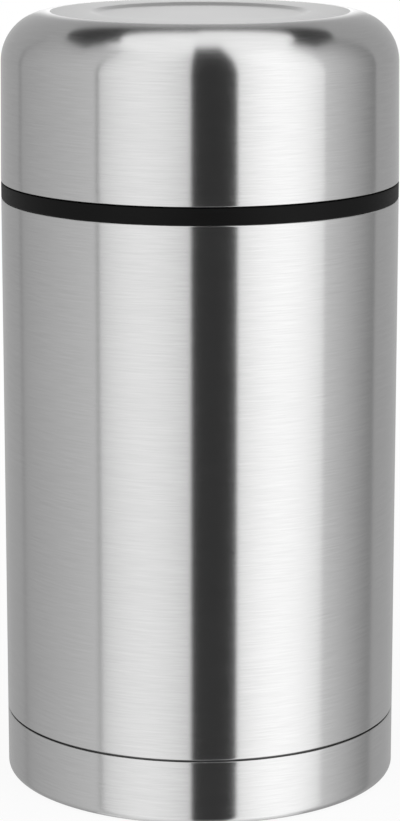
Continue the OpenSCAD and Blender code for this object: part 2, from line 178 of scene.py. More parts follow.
class FoodJarColours(bpy.types.PropertyGroup):
    """Colours of the visible materials."""
    steel: colour("Outer steel", "Brushed steel of the body, the base cap and the cup", "#C8C8C8")
    # The unpolished steel's dark grey is painted shade: it darkens the seam's groove where shade falls.
    unpolished_with_painted_shade: colour("Unpolished steel, painted shade", "Pressed steel of the body's foot, neck and joint", "#696969")
    vessel: colour("Vessel steel", "Spun and polished steel of the inner vessel", "#C2C2C1")
    collar: colour("Collar", "Black plastic of the collar", "#0A0A0A")
    stopper: colour("Stopper", "Black plastic of the stopper", "#1E1E20")
    liner: colour("Liner", "Black plastic of the cup's liner", "#232325")
    button: colour("Button", "Dark grey plastic of the vent's button and stem", "#38383B")
    silicone: colour("Silicone", "Grey silicone of the gasket and the vent's disc", "#8E9194")
    floor: colour("Floor", "Pale studio floor", "#F4F4F4")


class FoodJarStudio(bpy.types.PropertyGroup):
    """The camera and the light tent."""
    camera_distance: length("Camera distance", "Level distance from the axis to the camera", 0.7826)
    camera_height: length("Camera height", "Height of the camera", 0.2679)
    camera_pitch: bpy.props.FloatProperty(name="Pitch", description="Downward tilt of the camera",
                                          default=math.radians(12.27), subtype="ANGLE")
    lens: bpy.props.FloatProperty(name="Lens", description="Focal length on a 36 mm sensor, in millimetres",
                                  default=131.9, min=1)
    tent_radius: length("Tent radius", "Radius of the ring of soft light panels", 3.0)
    floor_radius: length("Floor radius", "Radius of the floor", 6.0)


# ---- Outlines: rows of (radius, height) ----

def rounded(corners, closed=True):
    """Outline with a round arc at each corner.

    A corner is (radius, height, bend) or (radius, height, bend, spacing). The two sides at a corner are cut
    back by bend times the tangent of half the turn, and the arc between the cuts has its centre on the
    corner's bisector: a point of it is the centre plus bend times a unit vector that swings from one side's
    normal to the other's. spacing is the longest step on the side that follows. An open outline keeps its
    two ends as they are.
    """
    wide = [(*corner, 4 * MM)[:4] for corner in corners]
    spot, bend, spacing = np.split(np.array(wide, float), [2, 3], axis=1)
    side = np.roll(spot, -1, axis=0) - spot
    way = side / np.linalg.norm(side, axis=1, keepdims=True)
    came = np.roll(way, 1, axis=0)
    turn = np.arctan2(came[:, 0] * way[:, 1] - came[:, 1] * way[:, 0], (came * way).sum(axis=1))
    if not closed:
        turn[[0, -1]] = 0
    cut = bend[:, 0] * np.tan(np.abs(turn) / 2)
    rows = []
    for i, angle in enumerate(turn):
        start, end = spot[i] - came[i] * cut[i], spot[i] + way[i] * cut[i]
        if cut[i] > 0:
            normal = np.array([-came[i][1], came[i][0]]) * np.sign(angle)
            centre = start + normal * bend[i]
            swing = np.linspace(0, abs(angle), 2 + int(abs(angle) * (3 + 900 * bend[i][0])))[:, None]
            rows.append(centre - bend[i] * (normal * np.cos(swing) - came[i] * np.sin(swing)))
        else:
            rows.append(spot[i:i + 1])
        if closed or i < len(spot) - 1:
            after = (i + 1) % len(spot)
            stop = spot[after] - way[i] * cut[after]
            free = (stop - end) @ way[i]
            margin = min(0.15 * MM + 0.3 * max(bend[i][0], bend[after][0]), free / 3)
            inner = np.linspace(margin, free - margin, 2 + int((free - 2 * margin) / spacing[i][0]))
            rows.append(end + inner[:, None] * way[i])
    rows = np.concatenate(rows)
    apart = np.linalg.norm(rows - np.roll(rows, 1, axis=0), axis=1) > 1e-6
    return rows[apart]


# ---- Surfaces ----

def surface(name, points, closed_along, closed_round, along, around):
    """Mesh of a grid of points, rows along the outline and columns round it.

    A row whose points all meet on the axis becomes one vertex with a fan of triangles. along and around
    give the UV map: the length along the outline at each row, and the share of the turn at each column,
    each with one more value where the grid closes on itself. Faces point to the left of the outline, seen
    along it in (radius, height).
    """
    rows, columns = points.shape[:2]
    pole = np.ptp(points, axis=1).max(axis=1) < 1e-9
    number = np.zeros((rows, columns), int)
    count = 0
    for row in range(rows):
        number[row] = count if pole[row] else count + np.arange(columns)
        count += 1 if pole[row] else columns
    keep = np.concatenate([points[row, :1] if pole[row] else points[row] for row in range(rows)])
    i, j = np.meshgrid(np.arange(rows if closed_along else rows - 1),
                       np.arange(columns if closed_round else columns - 1), indexing="ij")
    i, j = i.ravel(), j.ravel()
    up, on = (i + 1) % rows, (j + 1) % columns
    corners = np.stack([number[i, j], number[i, on], number[up, on], number[up, j]], axis=1)
    places = np.stack([np.stack([along[a], around[b]], axis=1)
                       for a, b in ((i, j), (i, j + 1), (i + 1, j + 1), (i + 1, j))], axis=1)
    use = np.ones(corners.shape, bool)
    use[pole[i], 1] = False
    use[pole[up], 2] = False
    mesh = bpy.data.meshes.new(name)
    sizes = use.sum(axis=1)
    mesh.vertices.add(len(keep))
    mesh.vertices.foreach_set("co", keep.astype(np.float32).ravel())
    mesh.loops.add(int(sizes.sum()))
    mesh.loops.foreach_set("vertex_index", corners[use].astype(np.int32))
    mesh.polygons.add(len(sizes))
    mesh.polygons.foreach_set("loop_start", (np.cumsum(sizes) - sizes).astype(np.int32))
    mesh.update(calc_edges=True)
    mesh.uv_layers.new(name=PATH_MAP).data.foreach_set("uv", places[use].astype(np.float32).ravel())
    mesh.polygons.foreach_set("use_smooth", np.ones(len(sizes), bool))
    mesh.validate()
    piece = bpy.data.objects.new(name, mesh)
    bpy.context.scene.collection.objects.link(piece)
    return piece


def turned(name, outline, closed=True, columns=COLUMNS, relief=None):
    """Surface of revolution: the outline's point (r, z) goes to (s cos a, s sin a, z) at each angle a.

    s is r, or what relief(r, z, a) makes of r, for flutes and threads.
    """
    a = np.arange(columns) * (2 * math.pi / columns)
    r, z = outline[:, :1], outline[:, 1:]
    s = relief(r, z, a) if relief else r + 0 * a
    points = np.stack([s * np.cos(a), s * np.sin(a), z + 0 * a], axis=-1)
    loop = np.concatenate([outline, outline[:1]])
    along = np.concatenate([[0], np.cumsum(np.linalg.norm(np.diff(loop, axis=0), axis=1))])
    return surface(name, points, closed, True, along, np.arange(columns + 1) / columns)


def ridge(z, a, bottom, top, phase=0.0):
    """Height of a screw thread at height z and angle a, from 0 to the thread's height.

    The ridge's middle climbs one pitch in a turn from bottom. Away from the middle it is flat for a fifth
    of its half width, then falls smoothly to nothing, and it fades over a pitch at each end.
    """
    sizes = bpy.context.scene.food_jar_sizes
    turns = (z - bottom) / sizes.thread_pitch - a / (2 * math.pi) - phase
    away = np.abs(turns - np.round(turns)) * sizes.thread_pitch / (sizes.thread_width / 2)
    flank = np.clip((1 - away) / 0.8, 0, 1)
    centre = z - (turns - np.round(turns)) * sizes.thread_pitch
    inside = np.minimum(centre - bottom, top - centre) / sizes.thread_pitch
    fade = np.clip(inside, 0, 1)
    return sizes.thread_height * flank ** 2 * (3 - 2 * flank) * fade ** 2 * (3 - 2 * fade)


def dress(piece, node, body, material):
    """Gives a finished piece its material, and its place in the frame instead of the node."""
    piece.data.materials.append(material)
    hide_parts(node)
    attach(piece, body)
    return piece


def reach(node):
    """Outer radius, lowest height and highest height of a node that stands on the axis."""
    low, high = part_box(node)
    return high.x, low.z, high.z


# ---- Materials ----

def add(tree, kind, inputs=None, **settings):
    """Adds one node. settings are its own properties; inputs are its sockets, each a value or an output to
    link."""
    node = tree.nodes.new(kind)
    for name, value in settings.items():
        setattr(node, name, value)
    for name, value in (inputs or {}).items():
        if isinstance(value, bpy.types.NodeSocket):
            tree.links.new(value, node.inputs[name])
        else:
            node.inputs[name].default_value = value
    return node


def blank(name):
    """New material with an empty node tree. Returns the material and the tree."""
    material = bpy.data.materials.new(name)
    material.use_nodes = True
    material.node_tree.nodes.clear()
    return material, material.node_tree


def refinish(piece, radius, material):
    """Gives another material to the faces whose middles lie nearer the axis than radius."""
    mesh = piece.data
    middle = np.zeros((len(mesh.polygons), 3), np.float32)
    mesh.polygons.foreach_get("center", middle.ravel())
    mesh.materials.append(material)
    inside = np.hypot(middle[:, 0], middle[:, 1]) < radius
    mesh.polygons.foreach_set("material_index", inside.astype(np.int32))


def steel(name, colour, roughness, anisotropy, streak, depth, patch):
    """Stainless steel with fine scratches round the axis.

    streak is the length and width of a scratch in metres. Noise stretched along the turn draws them: its
    vector is X and Y over the length, and the distance along the outline over the width. It moves the
    roughness, a little of the colour and the height by depth. patch is the width of the slow unevenness of
    the polish.
    """
    material, tree = blank(name)
    place = add(tree, "ShaderNodeTexCoord")
    xyz = add(tree, "ShaderNodeSeparateXYZ", {"Vector": place.outputs["Object"]})
    path = add(tree, "ShaderNodeUVMap", uv_map=PATH_MAP)
    along = add(tree, "ShaderNodeSeparateXYZ", {"Vector": path.outputs["UV"]})
    grain = add(tree, "ShaderNodeCombineXYZ",
                {"X": xyz.outputs["X"], "Y": xyz.outputs["Y"], "Z": along.outputs["X"]})
    scaled = add(tree, "ShaderNodeVectorMath",
                 {0: grain.outputs["Vector"], 1: (1 / streak[0], 1 / streak[0], 1 / streak[1])},
                 operation="MULTIPLY")
    scratches = add(tree, "ShaderNodeTexNoise",
                    {"Vector": scaled.outputs["Vector"], "Scale": 1.0, "Detail": 3.0, "Roughness": 0.65})
    polish = add(tree, "ShaderNodeTexNoise",
                 {"Vector": place.outputs["Object"], "Scale": 1 / patch, "Detail": 2.0, "Roughness": 0.5})
    rough = add(tree, "ShaderNodeMapRange",
                {"Value": scratches.outputs["Fac"], "From Min": NOISE_SPAN[0], "From Max": NOISE_SPAN[1],
                 "To Min": roughness[0], "To Max": roughness[1]})
    tone = add(tree, "ShaderNodeMath",
               {0: polish.outputs["Fac"], 1: POLISH_SHARE, 2: scratches.outputs["Fac"]},
               operation="MULTIPLY_ADD")
    share = add(tree, "ShaderNodeMapRange",
                {"Value": tone.outputs["Value"], "From Min": TONE_SPAN[0], "From Max": TONE_SPAN[1],
                 "To Min": 0.0, "To Max": 1.0})
    shade = add(tree, "ShaderNodeMix",
                {"Factor": share.outputs["Result"], 6: [c * (1 - TONE_SPREAD) for c in colour[:3]] + [1],
                 7: [min(c * (1 + TONE_SPREAD), 1) for c in colour[:3]] + [1]}, data_type="RGBA")
    bump = add(tree, "ShaderNodeBump",
               {"Height": scratches.outputs["Fac"], "Distance": depth, "Strength": 1.0})
    tangent = add(tree, "ShaderNodeTangent", direction_type="UV_MAP", uv_map=PATH_MAP)
    shader = add(tree, "ShaderNodeBsdfPrincipled",
                 {"Base Color": shade.outputs[2], "Metallic": 1.0, "Roughness": rough.outputs["Result"],
                  "Anisotropic": anisotropy, "Tangent": tangent.outputs["Tangent"],
                  "Normal": bump.outputs["Normal"]})
    add(tree, "ShaderNodeOutputMaterial", {"Surface": shader.outputs["BSDF"]})
    return material


def moulded(name, colour, roughness, grain, depth, ior=1.49, variation=0.12, **sockets):
    """Moulded plastic, rubber or foam with the fine texture of its mould.

    grain is the width of the texture's grains and depth their height, in metres. The same noise moves the
    roughness, and a slow one the colour by the share variation.
    """
    material, tree = blank(name)
    place = add(tree, "ShaderNodeTexCoord")
    texture = add(tree, "ShaderNodeTexNoise",
                  {"Vector": place.outputs["Object"], "Scale": 1 / grain, "Detail": 2.0, "Roughness": 0.6})
    slow = add(tree, "ShaderNodeTexNoise",
               {"Vector": place.outputs["Object"], "Scale": 0.08 / grain, "Detail": 1.0})
    rough = add(tree, "ShaderNodeMapRange",
                {"Value": texture.outputs["Fac"], "From Min": NOISE_SPAN[0], "From Max": NOISE_SPAN[1],
                 "To Min": roughness[0], "To Max": roughness[1]})
    shade = add(tree, "ShaderNodeMix",
                {"Factor": slow.outputs["Fac"], 6: [c * (1 - variation) for c in colour[:3]] + [1],
                 7: [min(c * (1 + variation), 1) for c in colour[:3]] + [1]}, data_type="RGBA")
    bump = add(tree, "ShaderNodeBump",
               {"Height": texture.outputs["Fac"], "Distance": depth, "Strength": 1.0})
    shader = add(tree, "ShaderNodeBsdfPrincipled",
                 {"Base Color": shade.outputs[2], "Roughness": rough.outputs["Result"], "IOR": ior,
                  "Normal": bump.outputs["Normal"], **sockets})
    add(tree, "ShaderNodeOutputMaterial", {"Surface": shader.outputs["BSDF"]})
    return material


def stainless_belt_brushed():
    """Stainless sheet, belt-brushed round the axis: reflections stay sharp round the jar and smear up and
    down it, with fine level streaks. Real scratches are 0.05 mm wide; these are drawn 0.24 mm wide, so that
    they show."""
    return steel("Stainless_belt_brushed", bpy.context.scene.food_jar_colours.steel, roughness=(0.176, 0.21),
                 anisotropy=0.985, streak=(9 * MM, 0.24 * MM), depth=0.0025 * MM, patch=60 * MM)


def stainless_satin():
    """Stainless sheet, blasted satin, on the cup's flat top, where a belt would leave a fan of streaks: an
    even soft shine. Real blasting pits are 0.1 mm wide; these are drawn 0.4 mm wide, so that they show."""
    return steel("Stainless_blasted_satin", bpy.context.scene.food_jar_colours.steel, roughness=(0.34, 0.38),
                 anisotropy=0.0, streak=(0.4 * MM, 0.4 * MM), depth=0.001 * MM, patch=60 * MM)


def stainless_unpolished_with_painted_shade():
    """Stainless sheet as it comes from the press, in the body's foot, neck and joint, which no belt
    reaches: dull, and much darker than the brushed wall. The darkness is painted shade: it darkens the
    seam's groove, where shade falls."""
    return steel("Stainless_pressed_unpolished_painted_shade", bpy.context.scene.food_jar_colours.unpolished_with_painted_shade,
                 roughness=(0.33, 0.39), anisotropy=0.0, streak=(2 * MM, 2 * MM), depth=0.001 * MM,
                 patch=60 * MM)


def stainless_spun():
    """Stainless sheet, spun and electropolished: softer and cleaner than the outside, with faint level
    rings."""
    return steel("Stainless_spun_electropolished", bpy.context.scene.food_jar_colours.vessel,
                 roughness=(0.2, 0.27), anisotropy=0.6, streak=(30 * MM, 0.6 * MM), depth=0.002 * MM,
                 patch=60 * MM)


def spring_wire():
    """Stainless spring wire as drawn: an even dull shine with short marks of the die."""
    return steel("Spring_steel_drawn", linear("#B4B4B2"), roughness=(0.22, 0.34), anisotropy=0.0,
                 streak=(3 * MM, 3 * MM), depth=0.001 * MM, patch=8 * MM)


def polypropylene_semigloss():
    """Polypropylene from a fine-blasted mould: deep black that stays dark even where a softbox faces it."""
    return moulded("Polypropylene_semigloss", bpy.context.scene.food_jar_colours.collar,
                   roughness=(0.42, 0.5), grain=0.6 * MM, depth=0.004 * MM, ior=1.2)


def polypropylene_satin():
    """Polypropylene from a spark-eroded mould: black with a fine even grain, nearly no mirror image."""
    return moulded("Polypropylene_satin", bpy.context.scene.food_jar_colours.stopper, roughness=(0.42, 0.52),
                   grain=0.35 * MM, depth=0.012 * MM)


# ---- Pieces ----

def mouth_radii(sizes):
    """Radii of the neck, of the threaded mouth and of the throat."""
    neck_r = reach("outer_shell")[0] - sizes.shoulder_width
    mouth_r = neck_r - sizes.sheet - sizes.nest_gap - sizes.inner_sheet
    return neck_r, mouth_r, mouth_r - sizes.throat_step


class FOODJAR_OT_body(bpy.types.Operator):
    """Make the outer steel wall and the base cap under it"""
    bl_idname = "food_jar.body"
    bl_label = "Body"

    def execute(self, context):
        sizes = context.scene.food_jar_sizes
        sheet, edge = sizes.sheet, sizes.formed_edge
        body_r, foot_z, neck_z = reach("outer_shell")
        cap_r, cap_z, cap_top = reach("base_cap")
        neck_r = mouth_radii(sizes)[0]
        shoulder_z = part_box("collar")[0].z
        seam_z = cap_top + sizes.seam
        step_r = body_r - sheet - sizes.nest_gap
        outline = rounded([
            (step_r - sheet, foot_z, CUT_EDGE), (step_r, foot_z, CUT_EDGE),
            (step_r, seam_z, FOLD), (body_r, seam_z, edge),
            (body_r, shoulder_z, sizes.shoulder_bend), (neck_r, shoulder_z, FOLD),
            (neck_r, neck_z, CUT_EDGE), (neck_r - sheet, neck_z, CUT_EDGE),
            (neck_r - sheet, shoulder_z - sheet, FOLD), (body_r - sheet, shoulder_z - sheet, FOLD),
            (body_r - sheet, seam_z + sheet, CUT_EDGE), (step_r - sheet, seam_z + sheet, CUT_EDGE)])
        finish = stainless_belt_brushed()
        shell = dress(turned("body_shell", outline), "outer_shell", "jar", finish)
        # Faces inside the wall's outer skin, the seam's groove among them, get the dark unpolished steel:
        # painted shade in the joint.
        refinish(shell, body_r - sheet / 2, stainless_unpolished_with_painted_shade())

        hollow_r = cap_r - sizes.base_bend - sizes.foot_width
        hollow_z = cap_z + sizes.foot_hollow
        bend = sizes.foot_hollow / 2
        outline = rounded([
            (0, hollow_z, 0), (hollow_r - sizes.foot_hollow, hollow_z, bend), (hollow_r, cap_z, bend),
            (cap_r, cap_z, sizes.base_bend), (cap_r, cap_top, edge), (cap_r - sheet, cap_top, edge),
            (cap_r - sheet, cap_z + sheet, sizes.base_bend - sheet),
            (hollow_r + sheet, cap_z + sheet, bend - sheet),
            (hollow_r + sheet - sizes.foot_hollow, hollow_z + sheet, bend - sheet),
            (0, hollow_z + sheet, 0)],
            closed=False)
        dress(turned("base_cup", outline, closed=False), "base_cap", "jar", finish)
        return {"FINISHED"}


class FOODJAR_OT_collar(bpy.types.Operator):
    """Make the black collar, with the thread that the cup screws on"""
    bl_idname = "food_jar.collar"
    bl_label = "Collar"

    def execute(self, context):
        sizes = context.scene.food_jar_sizes
        band_r, band_z, top = reach("collar")
        wall_in = mouth_radii(sizes)[0] + sizes.seat_gap
        wall_out = band_r - sizes.sheet - sizes.nest_gap - sizes.liner_wall - sizes.thread_room
        band_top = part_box("cup_shell")[0].z - sizes.seat_gap
        outline = rounded([
            (wall_in, band_z, CUT_EDGE), (band_r, band_z, MOULDED_EDGE), (band_r, band_top, MOULDED_EDGE),
            (wall_out, band_top, MOULDED_EDGE, THREAD_STEP), (wall_out, top, MOULDED_EDGE),
            (wall_in, top, MOULDED_EDGE)])

        def thread(r, z, a):
            outside = (r > (wall_in + wall_out) / 2) & (z > band_top + CUT_EDGE)
            return r + outside * ridge(z, a, band_top, top)

        dress(turned("collar_ring", outline, relief=thread), "collar", "jar",
              polypropylene_semigloss())
        return {"FINISHED"}


class FOODJAR_OT_cup(bpy.types.Operator):
    """Make the domed steel cup and its threaded plastic liner"""
    bl_idname = "food_jar.cup"
    bl_label = "Cup"

    def execute(self, context):
        sizes = context.scene.food_jar_sizes
        sheet, draft, fold = sizes.sheet, sizes.cup_draft, sizes.recess_fold
        rim_r, rim_z, top = reach("cup_shell")
        crown_r = rim_r - draft
        recess_r, slope_r = sizes.recess_radius, sizes.recess_radius - sizes.recess_slope
        floor_z = top - sizes.recess_depth
        outline = rounded([
            (0, floor_z - sheet, 0), (slope_r, floor_z - sheet, fold - sheet),
            (recess_r, top - sheet, fold - sheet), (crown_r - sheet, top - sheet, sizes.cup_bend - sheet),
            (rim_r - sheet, rim_z, sizes.formed_edge),
            (rim_r, rim_z, sizes.formed_edge), (crown_r, top, sizes.cup_bend), (recess_r, top, fold),
            (slope_r, floor_z, fold), (0, floor_z, 0)], closed=False)
        dome = dress(turned("cup_dome", outline, closed=False), "cup_shell", "cup",
                     bpy.data.materials["Stainless_belt_brushed"])
        refinish(dome, crown_r - sizes.cup_bend, stainless_satin())

        out_r, rim_z, top = reach("cup_liner")
        wall = sizes.liner_wall
        thread_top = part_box("collar")[1].z
        bend = sizes.cup_bend - sheet - sizes.recess_depth
        thread_end = thread_top + sizes.thread_width
        drawn_in = draft * (thread_end - rim_z) / (top - bend - rim_z)
        outline = rounded([
            (0, top - wall, 0), (out_r - draft - wall, top - wall, bend - wall),
            (out_r - wall - drawn_in, thread_end, 0, THREAD_STEP), (out_r - wall, rim_z, MOULDED_EDGE),
            (out_r, rim_z, FOLD), (out_r - draft, top, bend), (0, top, 0)], closed=False)

        def thread(r, z, a):
            bore = (r > out_r - 2 * wall) & (r < out_r - wall / 2) & (z < thread_end)
            return r - bore * ridge(z, a, rim_z, thread_top, 0.5)

        dress(turned("liner_shell", outline, closed=False, relief=thread), "cup_liner", "cup",
              moulded("Polypropylene_liner", context.scene.food_jar_colours.liner, roughness=(0.34, 0.42),
                      grain=0.5 * MM, depth=0.006 * MM))
        return {"FINISHED"}


class FOODJAR_OT_vessel(bpy.types.Operator):
    """Make the inner vessel: the wall with its threaded mouth and rolled lip, and the floor"""
    bl_idname = "food_jar.vessel"
    bl_label = "Vessel"

    def execute(self, context):
        sizes = context.scene.food_jar_sizes
        sheet, lip, step = sizes.inner_sheet, sizes.lip_radius, sizes.throat_step
        finish = stainless_spun()
        wall_out, weld_z, lip_z = reach("vessel_wall")
        wall_r = wall_out - sheet
        mouth_r, throat_r = mouth_radii(sizes)[1:]
        skirt_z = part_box("stopper_top")[0].z
        taper_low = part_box("stopper_base")[0].z - sizes.vessel_drop
        taper_top = taper_low + sizes.vessel_taper
        step_z = skirt_z - sizes.seat_gap - step
        lip_low = lip_z - 2 * lip
        outline = rounded([
            (wall_r, weld_z, 0), (wall_out, weld_z, 0), (wall_out, taper_low, 3 * lip),
            (throat_r + sheet, taper_top, lip), (throat_r + sheet, step_z, step / 2),
            (mouth_r + sheet, step_z + step, step / 2, THREAD_STEP), (mouth_r + sheet, lip_low, CUT_EDGE),
            (mouth_r + 2 * lip, lip_low, lip), (mouth_r + 2 * lip, lip_z, lip),
            (mouth_r, lip_z, lip, THREAD_STEP),
            (mouth_r, step_z + step, step / 2), (throat_r, step_z, step / 2), (throat_r, taper_top, lip),
            (wall_r, taper_low, 3 * lip)])

        def thread(r, z, a):
            mouth = (r < mouth_r + 2 * sheet) & (z > step_z) & (z < lip_z - lip)
            return r - mouth * ridge(z, a, skirt_z, lip_z - lip, 0.5)

        dress(turned("vessel_tube", outline, relief=thread), "vessel_wall", "jar", finish)

        out_r, low, weld_z = reach("vessel_floor")
        bend = sizes.floor_bend
        outline = rounded([
            (0, low, 0), (out_r, low, bend + sheet), (out_r, weld_z, 0), (out_r - sheet, weld_z, 0),
            (out_r - sheet, low + sheet, bend), (0, low + sheet, 0)], closed=False)
        dress(turned("vessel_dish", outline, closed=False), "vessel_floor", "jar", finish)
        return {"FINISHED"}


class FOODJAR_OT_stopper(bpy.types.Operator):
    """Make the stopper's two mouldings and the gasket between them"""
    bl_idname = "food_jar.stopper"
    bl_label = "Stopper"

    def execute(self, context):
        sizes = context.scene.food_jar_sizes
        finish = polypropylene_satin()
        wall, edge, grip_r = sizes.moulded_wall, MOULDED_EDGE, sizes.grip_radius
        flange_r, skirt_z, grip_top = reach("stopper_top")
        plug_r, plug_z, tub_top = reach("stopper_base")
        flange_z = tub_top + sizes.seat_gap
        flange_top = flange_z + sizes.flange
        grip_in = grip_r - sizes.flute_depth - wall
        dish_r, dish_z, dish_edge = sizes.dish_radius, grip_top - sizes.dish_depth, sizes.dish_edge
        hub_in = reach("vent_button")[0] + sizes.slide_gap
        hub_out = hub_in + wall
        hub_z = flange_z + sizes.hub_lift
        hub_seat, hub_top = hub_z + wall, dish_z + sizes.hub_rim
        hole_r = sizes.stem_radius + sizes.steam_room / 2
        skirt_r = mouth_radii(sizes)[1] - sizes.thread_room
        skirt_in = skirt_r - wall
        outline = rounded([
            (skirt_in, skirt_z, edge), (skirt_r, skirt_z, edge, THREAD_STEP), (skirt_r, flange_z, FOLD),
            (flange_r, flange_z, sizes.flange_edge / 2), (flange_r, flange_top, sizes.flange_edge),
            (grip_r, flange_top, sizes.flange_edge, FLUTE_STEP), (grip_r, grip_top, sizes.grip_edge),
            (dish_r, grip_top, dish_edge), (dish_r, dish_z, dish_edge), (hub_out, dish_z, dish_edge / 2),
            (hub_out, hub_top, dish_edge / 2), (hub_in, hub_top, dish_edge / 2),
            (hub_in, hub_seat, edge), (hole_r, hub_seat, edge), (hole_r, hub_z, edge),
            (hub_out, hub_z, edge),
            (hub_out, dish_z - wall, edge), (dish_r + wall, dish_z - wall, edge),
            (dish_r + wall, grip_top - wall, edge), (grip_in, grip_top - wall, dish_edge),
            (grip_in, flange_z, edge), (skirt_in, flange_z, CUT_EDGE)])
        ledge = flange_top + sizes.flute_ledge
        cutter = grip_r + sizes.flute_radius - sizes.flute_depth

        def grip_and_thread(r, z, a):
            """Above the ledge, the wall is drawn in to the near side of a row of round cutters: at an angle
            b from its own, a cutter's near side is c cos b - sqrt(R^2 - c^2 sin^2 b) from the axis."""
            pitch = 2 * math.pi / sizes.flute_count
            b = (a + pitch / 2) % pitch - pitch / 2
            room = np.maximum(sizes.flute_radius ** 2 - (cutter * np.sin(b)) ** 2, 0)
            near = np.where(room > 0, cutter * np.cos(b) - np.sqrt(room), grip_r)
            depth = np.maximum(grip_r - near, 0)
            depth = np.sqrt(depth ** 2 + edge ** 2 / 4) - edge / 2
            rise = np.clip((z - ledge) / sizes.flange_edge + 0.5, 0, 1)
            share = np.clip((r - grip_in) / (grip_r - grip_in), 0, 1)
            drawn = r - rise ** 2 * (3 - 2 * rise) * share * depth
            outside = (r > skirt_r - wall / 2) & (z < flange_z - CUT_EDGE)
            return drawn + outside * ridge(z, a, skirt_z, flange_z)

        dress(turned("stopper_grip", outline, columns=FLUTED_COLUMNS, relief=grip_and_thread), "stopper_top",
              "stopper", finish)

        groove_z = plug_z + sizes.plug_floor
        port_r, tub_r = sizes.stem_radius + sizes.steam_room, skirt_in - sizes.slide_gap
        chimney_in = port_r + sizes.steam_room
        chimney_out = chimney_in + wall
        chimney_top = hub_z - sizes.seat_gap
        outline = rounded([
            (port_r, plug_z, edge), (plug_r, plug_z, sizes.plug_edge), (plug_r, groove_z, edge),
            (tub_r, groove_z, FOLD), (tub_r, tub_top, edge), (tub_r - wall, tub_top, edge),
            (tub_r - wall, groove_z, edge), (chimney_out, groove_z, edge), (chimney_out, chimney_top, edge),
            (chimney_in, chimney_top, edge), (chimney_in, groove_z, edge), (port_r, groove_z, edge)])
        dress(turned("stopper_plug", outline), "stopper_base", "stopper", finish)

        reach_r, low, high = reach("stopper_gasket")
        inner_r, root_r, lip = tub_r + sizes.nest_gap, plug_r - sizes.nest_gap, sizes.gasket_lip
        corners = [(inner_r, low, FOLD), (root_r, low, FOLD)]
        for share in GASKET_LIPS:
            z = groove_z + share * (skirt_z - groove_z)
            corners += [(root_r, z - lip / 2, CUT_EDGE), (reach_r, z + lip / 4, CUT_EDGE),
                        (reach_r, z + lip / 2, CUT_EDGE), (root_r, z + lip / 2, CUT_EDGE / 2)]
        corners += [(root_r, high, FOLD), (inner_r, high, FOLD)]
        dress(turned("gasket_ring", rounded(corners)), "stopper_gasket", "stopper",
              moulded("Silicone_moulded", context.scene.food_jar_colours.silicone, roughness=(0.5, 0.62),
                      grain=0.5 * MM, depth=0.006 * MM, ior=1.41))
        return {"FINISHED"}


class FOODJAR_OT_vent(bpy.types.Operator):
    """Make the vent: its button, stem, soft disc and return spring"""
    bl_idname = "food_jar.vent"
    bl_label = "Vent"

    def execute(self, context):
        sizes = context.scene.food_jar_sizes
        finish = moulded("Polypropylene_button", context.scene.food_jar_colours.button,
                         roughness=(0.3, 0.38), grain=0.4 * MM, depth=0.006 * MM)
        button_r, low, top = reach("vent_button")
        stem_r, wall, edge = sizes.stem_radius, sizes.button_wall, sizes.button_edge
        bore_r, boss_r = stem_r + sizes.nest_gap / 2, stem_r + wall
        under = top - sizes.button_top
        boss_z = under - sizes.boss_depth
        outline = rounded([
            (0, under + sizes.nest_gap, 0), (bore_r, under + sizes.nest_gap, CUT_EDGE),
            (bore_r, boss_z, CUT_EDGE),
            (boss_r, boss_z, FOLD), (boss_r, under, MOULDED_EDGE), (button_r - wall, under, MOULDED_EDGE),
            (button_r - wall, low, FOLD), (button_r, low, FOLD), (button_r, top, edge),
            (button_r - 2 * edge, top, 2 * edge), (0, top - sizes.button_top / 4, 0)], closed=False)
        dress(turned("vent_cap", outline, closed=False), "vent_button", "vent", finish)

        foot_r, foot_z, stem_top = reach("vent_stem")
        seal_r, seal_z, seal_top = reach("vent_seal")
        neck_r = stem_r - sizes.stem_groove
        foot_top = seal_z - sizes.nest_gap
        plug_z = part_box("stopper_base")[0].z
        outline = rounded([
            (0, foot_z, 0), (foot_r, foot_z, FOLD), (foot_r, foot_top, FOLD),
            (neck_r, foot_top, CUT_EDGE / 2), (neck_r, plug_z, CUT_EDGE / 2), (stem_r, plug_z, CUT_EDGE),
            (stem_r, stem_top, CUT_EDGE), (0, stem_top, 0)], closed=False)
        dress(turned("vent_rod", outline, closed=False, columns=SLIM_COLUMNS), "vent_stem", "vent",
              finish)

        inner_r = neck_r + sizes.nest_gap
        outline = rounded([(inner_r, seal_z, CUT_EDGE), (seal_r, seal_z, (seal_top - seal_z) / 3),
                           (seal_r, seal_top, FOLD), (inner_r, seal_top, CUT_EDGE)])
        dress(turned("vent_disc", outline), "vent_seal", "vent",
              bpy.data.materials["Silicone_moulded"])
        self.spring(sizes)
        return {"FINISHED"}

    def spring(self, sizes):
        """The return spring: a circle of half the wire's thickness is carried along a helix. At t turns the
        helix stands at angle 360 t, and climbs evenly from half a turn after the start to half a turn
        before the end."""
        out_r, low, high = reach("vent_spring")
        wire_r, turns, sides = sizes.wire / 2, sizes.spring_turns, 16
        t = np.linspace(0, turns, turns * 48 + 1)[:, None]
        s = np.arange(sides) * (2 * math.pi / sides)
        climb = np.clip((t - 0.5) / (turns - 1), 0, 1)
        centre_z = low + wire_r + (high - low - 2 * wire_r) * climb
        r = out_r - wire_r + wire_r * np.cos(s) + 0 * t
        z = centre_z - wire_r * np.sin(s)
        a = 2 * math.pi * t
        points = np.stack([r * np.cos(a), r * np.sin(a), z], axis=-1)
        ends = points[[0, -1]].mean(axis=1, keepdims=True) + 0 * points[[0, -1]]
        points = np.concatenate([ends[:1], points, ends[1:]])
        along = np.concatenate([[0], np.linspace(0, 2 * math.pi * out_r * turns, len(t)), [0]])
        coil = surface("vent_coil", points, False, True, along, np.arange(sides + 1) / sides)
        dress(coil, "vent_spring", "stopper", spring_wire())
        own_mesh(coil)


